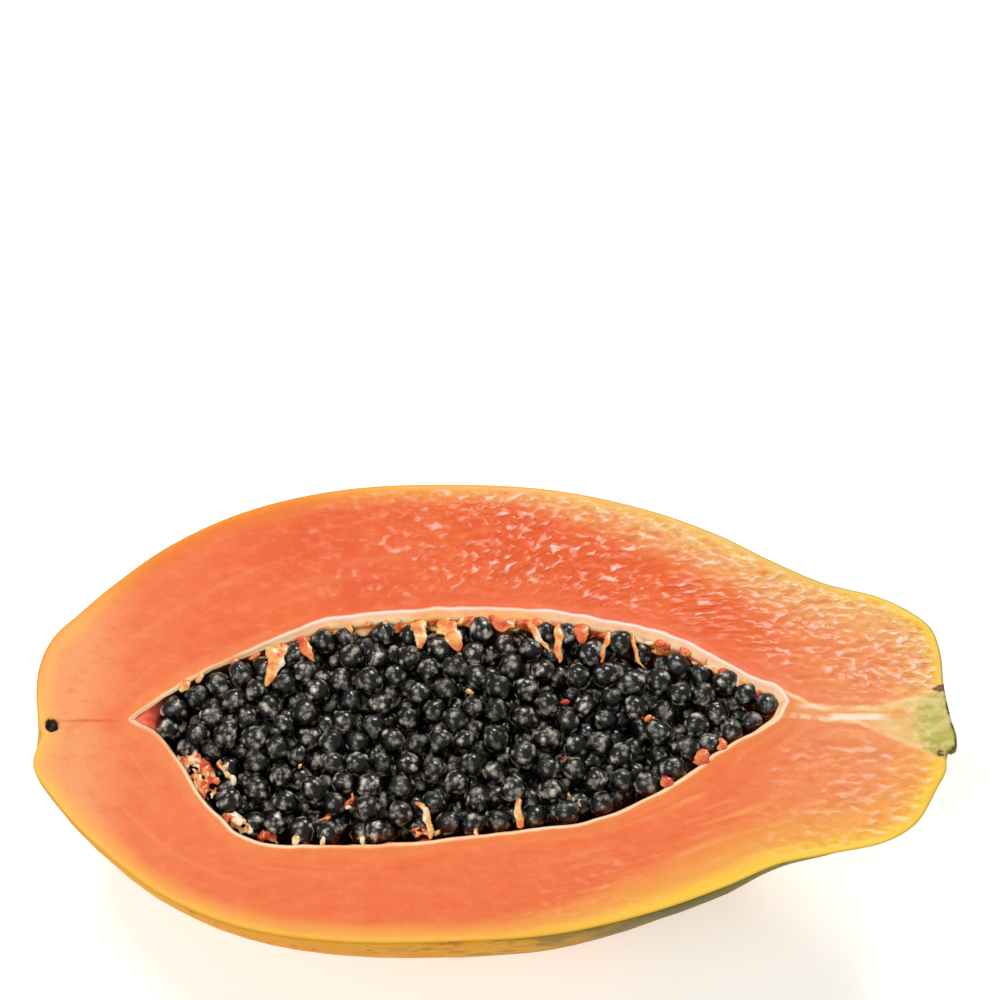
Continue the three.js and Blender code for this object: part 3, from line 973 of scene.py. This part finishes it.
class FleshFinish(FruitFinish):
    """The flesh's finish, with the distances and patterns that its tones are laid out by."""

    def __init__(self, name, **shader_values):
        super().__init__(name, **shader_values)
        self.grain = self.attribute("grain").outputs["Vector"]
        self.x, self.y, _ = self.place_parts()
        self.rim, self.skin = self.measure("from_rim"), self.measure("from_skin")
        self.stem_half = self.x.fade(95, 150)
        self.mottle = self.cloud((3.2, 2.2, 2.2), detail=4, roughness=0.6)
        self.wander = (self.cloud((5, 40, 40)) - 0.5) * 1.2
        far_side = self.y.fade(*FAR_SIDE) * self.x.fade(*TOWARDS_STEM)
        near_side = self.y.fade(-28, -34) * self.x.band(92, 120, 152) * 0.22
        neck = self.x.fade(*WET_NECK) * (0.55 + self.y.fade(*NECK_SIDES) * 0.45)
        core = abs(self.y - 1).fade(9, 4) * self.x.fade(158, 168)
        spread = (far_side + near_side + neck).limited()
        self.wet = spread * self.rim.fade(1, 9) * self.skin.fade(0.6, 2.4) * (1 - core * 0.8)

    def strokes(self, sizes, detail):
        """A pattern that runs with the grain beside the cavity, and lengthwise in the neck."""
        beside = self.cloud(sizes, detail, distortion=0.15, over=self.grain)
        in_neck = self.cloud(sizes, detail, distortion=0.15)
        return beside + (in_neck - beside) * self.x.fade(*NECK)

    def apart(self, place, drift=(0, 0), along=1):
        """Square of the distance from a place; lengths along the fruit count by a factor."""
        over_x, over_y = self.x - place[0] + drift[0], self.y - place[1] + drift[1]
        return over_x * over_x * along + over_y * over_y


def flesh_tones(cut):
    """Orange flesh, paler at the blossom end and the neck, redder round the cavity."""
    x, y, mottle = cut.x, cut.y, cut.mottle
    drift = cut.cloud((26, 18, 18), detail=3)
    blotches = cut.cloud((6, 3.2, 4), detail=4, roughness=0.65)
    fibres = cut.cloud((30, 1.6, 6), detail=3, over=cut.grain).fade(0.5, 0.7)
    veins = cut.cloud((60, 2.6, 6), over=cut.grain).fade(0.5, 0.66)
    return cut.tint(
        cut.mix(drift.fade(0.36, 0.64), 0xE45C26, 0xE9682F),
        (y.fade(4, -20) * 0.7, 0xEF763F),
        (x.fade(60, 20) * 0.8, 0xEF7A46),
        (x.fade(24, 8), 0xF29C60),
        (x.fade(146, 186) * 0.75, 0xF0A266),
        (mottle.fade(0.5, 0.75) * 0.3, 0xF59262),
        (mottle.fade(0.45, 0.25) * 0.3, 0xE4561F),
        (blotches.fade(0.5, 0.66) * 0.22, 0xE04E28),
        (blotches.fade(0.48, 0.34) * 0.28, 0xF68A5E),
        (fibres * cut.stem_half * y.fade(4, -12) * 0.6, 0xF7A05A),
        (veins * x.fade(95, 50) * 0.16, 0xF9A274),
    )


def edge_tones(cut, flesh):
    """Golden flesh under the rind, wider towards the stem, and the rind's own thin line."""
    x, y = cut.x, cut.y
    ragged = cut.cloud((12, 6, 6), detail=3) * 2 - 1
    depth = (cut.skin + ragged * 1.2) / (1 + cut.stem_half * 1.6)
    far_side = y.fade(0, 14)
    orange_side = far_side * x.fade(88, 50)
    golden = cut.tint(
        cut.mix(orange_side, 0xF4AC46, 0xE87C1E),
        (far_side * x.fade(75, 105), 0xEEB46A),
        (x.fade(26, 6), 0xF8B45C),
    )
    yellow = cut.tint(
        cut.mix(orange_side, 0xFBCC40, 0xF29A30),
        (far_side * x.fade(60, 110), 0xEEBE62),
    )
    bright = far_side * x.fade(172, 186) * x.fade(199.5, 198) * cut.skin.fade(3.2, 1.2)
    return cut.tint(
        flesh,
        (depth.fade(6.0, 1.0) * 0.85, golden),
        (depth.fade(2.0, 0.7) * (0.4 + 0.5 * cut.stem_half), yellow),
        (bright * 0.75, 0xF6CC3E),
        (cut.skin.fade(0.6, 0.2) * (0.35 + far_side * 0.45), cut.mix(x.fade(120, 165), 0xD9982A, 0xA2A432)),
    )


def under_skin_mottles_and_painted_glints(cut, flesh):
    """Small pale and brown-orange specks in the wet flesh under the skin: partly the flesh's own mottling,
    partly painted small glints and their painted shade.
    """
    grit = cut.cloud((1.6, 1.0, 1.0), roughness=0.6)
    reach = cut.skin.fade(12, 3) * cut.wet * 0.4
    return cut.tint(
        flesh,
        # Painted highlight, partly the flesh's own mottling: pale specks in the wet flesh.
        (grit.fade(0.5, 0.66) * reach, 0xFAD0A0),
        # Painted shade, partly the flesh's own mottling: brown-orange specks beside them.
        (grit.fade(0.48, 0.34) * reach, 0xDC7036),
    )


def scar_line_tones(cut, flesh):
    """The fine line from the blossom scar to the cavity, in a redder band."""
    line = abs(cut.y - 0.4 + cut.wander * 0.5).fade(0.6, 0.1)
    return cut.tint(
        flesh,
        (line * cut.x.band(1, 12, 26) * 0.7, 0xD9581E),
        (abs(cut.y - 1).fade(5, 0.5) * cut.x.band(8, 20, 30) * 0.6, 0xEE6030),
    )


def core_tones(cut, flesh):
    """The pale core from the cavity to the stem, greener in the stub, between two cream lines."""
    x, y, mottle = cut.x, cut.y, cut.mottle
    far_line = (172 - x).at_least(0) * 0.5 + (x - 184).at_least(0) * 0.28 + 3.5
    near_line = 2 - (x - 163).at_least(0) * 0.1 - (x - 180).at_least(0) * 0.38
    over_far, over_near = y - far_line + cut.wander, y - near_line + cut.wander
    green = (mottle + y.fade(1, -5) * x.fade(193, 198) * 0.12).fade(0.47, 0.6) * x.fade(189, 196)
    cream = mottle.fade(0.47, 0.35) * x.fade(184, 190) * x.fade(199, 194)
    inner = cut.tint(
        cut.mix(x.fade(178, 188), 0xEE9C5C, 0xEFC27A),
        (cut.apart(CORE_PATCH_PLACE, along=0.16).fade(3.5, 0.5) * 0.7, 0xE79A45),
        (x.fade(190.5, 197), 0xD2C474),
        (green * 0.7, 0xA4A63C),
        (cream * 0.75, 0xF4D49C),
    )
    within = over_far.fade(0.6, -0.4) * over_near.fade(-0.4, 0.6) * x.fade(162, 170)
    lines = abs(over_far).fade(0.9, 0.2) * x.fade(157, 161)
    lines = (lines + abs(over_near).fade(0.9, 0.2) * x.fade(160, 166)).limited()
    uneven = cut.cloud(4).fade(0.3, 0.55) * (0.85 - x.fade(180, 194) * 0.5)
    long_streak = abs(y - 1.4 + cut.wander * 0.3).fade(1.0, 0.45) * x.fade(173, 176) * x.fade(189, 184)
    short_streak = abs(y - 4).fade(0.8, 0.3) * x.band(166, 170, 175)
    return cut.tint(
        flesh,
        (within * 0.95, inner),
        (lines * uneven, 0xFAD29C),
        ((long_streak + short_streak * 0.7).limited() * 0.9, 0xFAE4CE),
    )


def stub_tones(cut, flesh):
    """The stub's brown edge, a dry scale at its far corner and a dark spot at its near one."""
    x, y = cut.x, cut.y
    edge = cut.skin.fade(0.9, 0.2) * x.fade(197, 199) * y.fade(9, 6) * y.fade(-9.5, -8.5)
    blots = cut.cloud((1.8, 2.4, 1.8))
    dark_blots = (blots + y.band(1, -4.5, -8) * 0.09).fade(0.47, 0.56)
    crumbs = cut.cloud(1.1, detail=3, roughness=0.7)
    drift = ((crumbs - 0.5) * 5, (blots - 0.5) * 4)
    scale = cut.mix(crumbs.fade(0.4, 0.6), 0x2E120C, 0x6E3A26)
    return cut.tint(
        flesh,
        (edge * (0.25 + dark_blots * 0.7), 0x3A361C),
        (cut.apart(STUB_SCALE_PLACE, drift, along=0.5).fade(1.8, 0.5) * 0.9, scale),
        (cut.apart(STUB_SPOT_PLACE, drift).fade(1.1, 0.3) * 0.9, 0x2A1C0C),
    )


def cavity_tones(cut, flesh):
    """A cream lip round the cavity with a white edge line that is partly a painted highlight, and its orange
    wall with pale fibres down it, painted near black as shade towards the blossom end.
    """
    x, y = cut.x, cut.y
    ragged = cut.cloud((2.6, 2.6, 4), detail=3) * 2 - 1
    fibres = cut.cloud((2.2, 12, 7), detail=3, over=cut.grain)
    patches = cut.cloud((7, 12, 6), over=cut.grain)
    whiter = cut.cloud(22).fade(0.35, 0.6)
    far_side = y.fade(*LIP_SIDES) * x.fade(*LIP_START)
    depth = cut.rim + ragged * 0.45
    ledge = depth / (0.35 + far_side * 0.65)
    wall = cut.tint(
        cut.mix(depth.fade(-5, -10), 0xE4582C, 0xA82C18),
        (patches.fade(0.42, 0.6) * depth.fade(-12, -5), 0xF08A3C),
        (fibres.fade(0.5, 0.62) * 0.6, 0xF6B468),
        # Painted shade: towards the blossom end the wall is painted near black.
        (x.fade(66, 54) * 0.95, 0x1E0B08),
        (ledge.fade(-4.6, -3.0) * x.fade(50, 66), cut.mix(patches.fade(0.4, 0.62), 0xFF6A2C, 0xFFA04C)),
    )
    near_left, bare_tip = x.fade(62, 48) * y.fade(0, -8), x.fade(35, 28) * y.fade(0, -2)
    whiteness = (0.5 + 0.45 * whiter + near_left * 0.4 + far_side * 0.3).limited() * (1 - bare_tip * 0.7)
    edge = (cut.rim + ragged * 0.15).band(-0.2, 0.2, 0.9)
    return cut.tint(
        flesh,
        (cut.rim.fade(4.5, 0.8) * (1 - far_side) * 0.35, 0xF6A052),
        (depth.fade(0.3, -0.3), wall),
        (ledge.band(-1.5, -0.7, 0.6) * 0.95, cut.mix(whiter, 0xFFC67A, 0xFFE4B6)),
        # Partly a painted highlight: the white line on the lip's edge, partly the pale wet edge itself.
        (edge * whiteness, cut.mix(far_side, 0xFFDCB4, 0xFFEEDC)),
        (x.fade(30, 24) * cut.rim.fade(-0.3, -1.2), 0xFF6E54),
    )


def flesh_finish():
    """The wet cut flesh and the cavity's wall, with painted glints and painted shade on the wet flesh."""
    cut = FleshFinish(
        "papaya_flesh",
        subsurface_weight=0.2,
        subsurface_radius=(1.0, 0.35, 0.15),
        subsurface_scale=0.003,
        specular_ior_level=0.32,
    )
    flesh = flesh_tones(cut)
    for add_tones in (edge_tones, under_skin_mottles_and_painted_glints, scar_line_tones, core_tones, stub_tones, cavity_tones):
        flesh = add_tones(cut, flesh)
    scar = (cut.apart(SCAR_PLACE) / SCAR_RADIUS**2 + (cut.mottle - 0.5) * 1.8).fade(1.4, 0.8)
    cells = cut.strokes((2.3, 1.6, 1.6), detail=0)
    drops = cut.strokes((2.7, 1.5, 1.5), detail=0.4)
    grouped = cut.cloud((11, 7, 7)).fade(0.34, 0.56) * cut.wet
    glinting = grouped * (0.32 + cut.mottle.fade(0.42, 0.6) * 0.6)
    flesh = cut.tint(
        flesh,
        (scar, 0x2A1012),
        # Painted shade: darker red-orange between and round the painted glints.
        (drops.fade(0.46, 0.32) * grouped * 0.4, 0xE5572A),
        # Painted highlight: pale pink glints on the wet drops, beside the real wet sheen from the lights.
        (drops.fade(0.54, 0.72) * glinting, 0xFFD2C0),
    )
    relief = (cells - 0.5) * 0.3 * (0.04 + cut.wet) + (drops.fade(0.44, 0.74) - 0.32) * grouped * 0.26
    height = relief + cut.cloud(0.8) * 0.02 + cut.mottle * 0.08
    roughness = 0.42 + cut.mottle * 0.1 - cut.wet * 0.18
    cut.set(base_color=flesh, roughness=roughness, normal=cut.bump(height))
    return cut.material


def rind_finish():
    """Thin waxy rind: yellow-orange with green patches, brown specks and fine pores, and on the near side a
    grey-olive patch that is partly bruised skin and partly painted shade.
    """
    rind = FruitFinish("papaya_rind", specular_ior_level=0.04, roughness=0.5)
    x, y, z = rind.place_parts()
    patches = rind.cloud((55, 30, 30), detail=4)
    smudges = rind.cloud((9, 6, 5), detail=4, roughness=0.65)
    speck_size = 0.35 + rind.cloud(6).fade(0.38, 0.64) * 0.8
    specks = (rind.from_dots(4.5) / speck_size + smudges * 0.4).fade(0.44, 0.28)
    near_rind_strip = y.fade(-8, -20) * z.fade(-30, -8)
    # A grey-olive patch on the near upper rind: partly bruised skin, partly painted shade under a lobe.
    bruise_and_painted_shade = x.band(104, 140, 186) * near_rind_strip * (0.75 + smudges * 0.5)
    colour = rind.tint(
        rind.mix(rind.cloud((20, 14, 14)).fade(0.35, 0.65), 0xE6961A, 0xE6A428),
        ((patches + x.fade(60, 200) * 0.25).fade(0.52, 0.78), 0x848C34),
        (specks * rind.cloud(18).fade(0.42, 0.6) * 0.65, 0x5E3E1C),
        (smudges.fade(0.47, 0.6) * x.fade(60, 100) * near_rind_strip * 0.6, 0x7A5E28),
        ((bruise_and_painted_shade * 0.9).limited(), 0x6E6434),
        (x.fade(197.5, 199.5), rind.mix(smudges.fade(0.3, 0.66), 0x4A4420, 0x8C8440)),
    )
    rind.set(base_color=colour, normal=rind.bump(rind.cloud(0.7) * 0.06))
    return rind.material


def seed_finish():
    """Black-brown seeds with knobbly ridges whose pale grey tips are partly their own colour and partly
    painted glints, each in its wet sac.
    """
    skin = Finish(
        "papaya_seed_skin",
        coat_roughness=0.1,
        coat_weight=0.12,
        specular_ior_level=0.65,
        roughness=0.24,
    )
    fine = skin.cloud(0.6 * MILLIMETRE, detail=3, roughness=0.6)
    tips = (skin.from_dots(1.8 * MILLIMETRE, "SMOOTH_F1") + (fine - 0.5) * 0.6).fade(0.46, 0.1)
    patches = skin.cloud(2.6 * MILLIMETRE).fade(0.4, 0.58)
    # Partly painted highlight: pale grey on the knob tips, partly the ridges' own colour.
    grey = tips * (0.4 + 0.6 * patches) * (0.45 + 0.55 * skin.measure("tone"))
    skin.set(base_color=skin.mix(grey, 0x0B0906, 0xEADFCC), normal=skin.bump(tips * 0.25 + fine * 0.05))
    return skin.material


def pulp_finish():
    """Wet pulp, from red-orange over orange to cream."""
    pulp = Finish(
        "papaya_pulp",
        subsurface_weight=0.25,
        subsurface_radius=(1.0, 0.5, 0.2),
        subsurface_scale=0.002,
        coat_roughness=0.1,
        coat_weight=0.5,
        roughness=0.35,
    )
    fine, patches = pulp.cloud(0.9 * MILLIMETRE, detail=3), pulp.cloud(2.8 * MILLIMETRE)
    tone = pulp.measure("tone") + (fine - 0.5) * 0.4 + (patches - 0.5) * 1.1
    colour = pulp.tint(
        pulp.mix(tone.fade(0, 0.35), 0xD43C20, 0xF27830),
        (tone.fade(0.35, 0.65), 0xF8B058),
        (tone.fade(0.65, 1), 0xFCE2C0),
    )
    pulp.set(base_color=colour, normal=pulp.bump(fine * 0.3))
    return pulp.material


def bed_finish():
    """Dark wet pulp, mottled black and brown."""
    bed = Finish("seed_bed_pulp", roughness=0.5)
    bed.set(base_color=bed.mix(bed.cloud(3 * MILLIMETRE), 0x0C0A09, 0x2A1A14))
    return bed.material


# ---- Stage ----

CAMERA_ELEVATION = 62.958  # degrees over the horizon
CAMERA_DISTANCE = 1.1214  # metres to where its axis meets the cut plane
CAMERA_AIM = (102, 54.8, 0)  # that point, in the fruit's own axes
LENS, SENSOR_WIDTH = 180, 36
FLOOR_SIZE = 4
LIT_PLACE = (0, 0, 0.05)  # the lights point at this place
# Name, place, width and length, and power of each soft light.
LIGHTS = [
    ("softbox", (0.28, 0.8, 0.72), (0.34, 0.24), 6.1),
    ("glint", (-0.38, 0.27, 1.05), (0.14, 0.14), 2.4),
    ("fill", (-0.55, -0.6, 1.1), (0.8, 0.6), 6.7),
]
WHITE = (1, 1, 1, 1)
SKY_STRENGTH = 0.3


def make_camera():
    elevation = math.radians(CAMERA_ELEVATION)
    data = bpy.data.cameras.new("camera")
    data.lens, data.sensor_width = LENS, SENSOR_WIDTH
    camera = add_object("camera", data)
    back = Vector((0, -math.cos(elevation), math.sin(elevation)))
    camera.location = INTO_FRAME @ Vector(CAMERA_AIM) + CAMERA_DISTANCE * back
    camera.rotation_euler = (math.pi / 2 - elevation, 0, 0)
    bpy.context.scene.camera = camera


def add_light(name, place, size, power):
    data = bpy.data.lights.new(name, "AREA")
    data.shape, data.energy = "RECTANGLE", power
    data.size, data.size_y = size
    light = add_object(name, data)
    light.location = place
    light.rotation_euler = (Vector(LIT_PLACE) - Vector(place)).to_track_quat("-Z", "Y").to_euler()


def make_floor():
    bm = bmesh.new()
    bmesh.ops.create_grid(bm, x_segments=1, y_segments=1, size=FLOOR_SIZE)
    mesh = mesh_of(bm, "floor")
    pale = Finish(
        "pale_floor",
        base_color=paint(0xF4F3F1),
        roughness=0.7,
        specular_ior_level=0.2,
        emission_color=WHITE,
        emission_strength=0.4,
    )
    mesh.materials.append(pale.material)
    add_object("floor", mesh)


def light_sky():
    world = bpy.context.scene.world or bpy.data.worlds.new("world")
    bpy.context.scene.world = world
    world.use_nodes = True
    background = world.node_tree.nodes["Background"]
    background.inputs["Color"].default_value = WHITE
    background.inputs["Strength"].default_value = SKY_STRENGTH
    bpy.context.scene.view_settings.view_transform = "Standard"


make_camera()
make_floor()
light_sky()
for light in LIGHTS:
    add_light(*light)
make_fruit(flesh_finish(), rind_finish())
make_seeds(seed_finish())
make_seed_bed(bed_finish())
make_pulp(pulp_finish())
